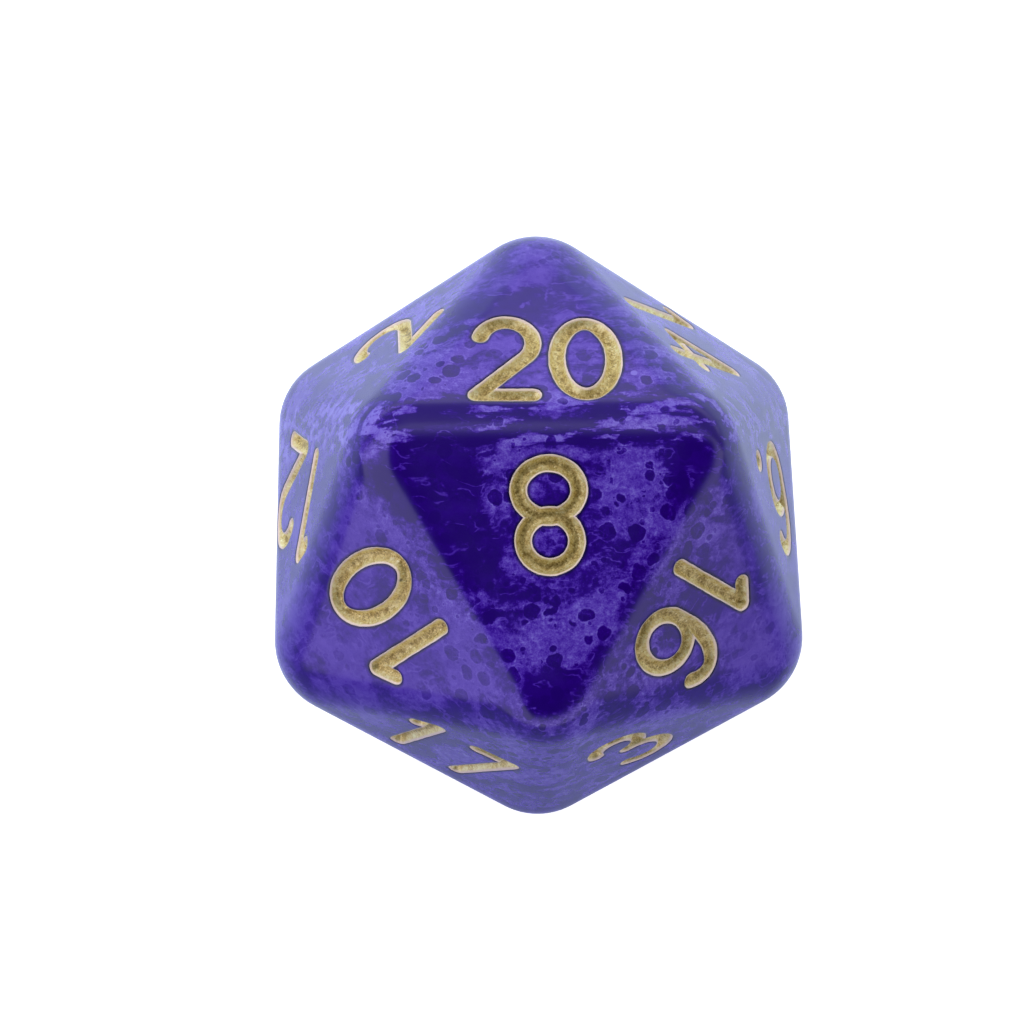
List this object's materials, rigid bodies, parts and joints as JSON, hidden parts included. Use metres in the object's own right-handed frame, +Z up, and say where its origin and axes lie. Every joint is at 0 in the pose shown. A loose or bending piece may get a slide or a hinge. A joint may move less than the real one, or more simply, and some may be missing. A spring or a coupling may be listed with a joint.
{
  "type": "polyhedral die",
  "caption": "Polyhedral die of marbled pearl resin with rounded edges and engraved numbers filled with gold paint.",
  "frame": {"origin": "on the ground under the die's centre, as it rests on the face numbered 13 and shows 8", "axes": "+Z up through the face numbered 8, +Y towards the side where the face numbered 20 leans, +X to the right of the upright 8"},
  "size_m": [0.021, 0.0234, 0.02],
  "materials": {
    "pearl_resin": "polished cast resin, marbled violet and blue with pearl pigment and fine bubbles",
    "gold_paint": "brushed-in acrylic gold paint with metal flake, grainy, pale at the rim of each stroke"
  },
  "bodies": {
    "root": {"die_body": "pearl_resin", "number_10_tens_paint": "gold_paint", "number_10_units_paint": "gold_paint", "number_11_tens_paint": "gold_paint", "number_11_units_paint": "gold_paint", "number_12_tens_paint": "gold_paint", "number_12_units_paint": "gold_paint", "number_13_tens_paint": "gold_paint", "number_13_units_paint": "gold_paint", "number_14_tens_paint": "gold_paint", "number_14_units_paint": "gold_paint", "number_15_tens_paint": "gold_paint", "number_15_units_paint": "gold_paint", "number_16_tens_paint": "gold_paint", "number_16_units_paint": "gold_paint", "number_17_tens_paint": "gold_paint", "number_17_units_paint": "gold_paint", "number_18_tens_paint": "gold_paint", "number_18_units_paint": "gold_paint", "number_19_tens_paint": "gold_paint", "number_19_units_paint": "gold_paint", "number_1_paint": "gold_paint", "number_20_tens_paint": "gold_paint", "number_20_units_paint": "gold_paint", "number_2_paint": "gold_paint", "number_3_paint": "gold_paint", "number_4_paint": "gold_paint", "number_5_paint": "gold_paint", "number_6_dot_paint": "gold_paint", "number_6_paint": "gold_paint", "number_7_paint": "gold_paint", "number_8_paint": "gold_paint", "number_9_dot_paint": "gold_paint", "number_9_paint": "gold_paint"}
  },
  "joints": []
}
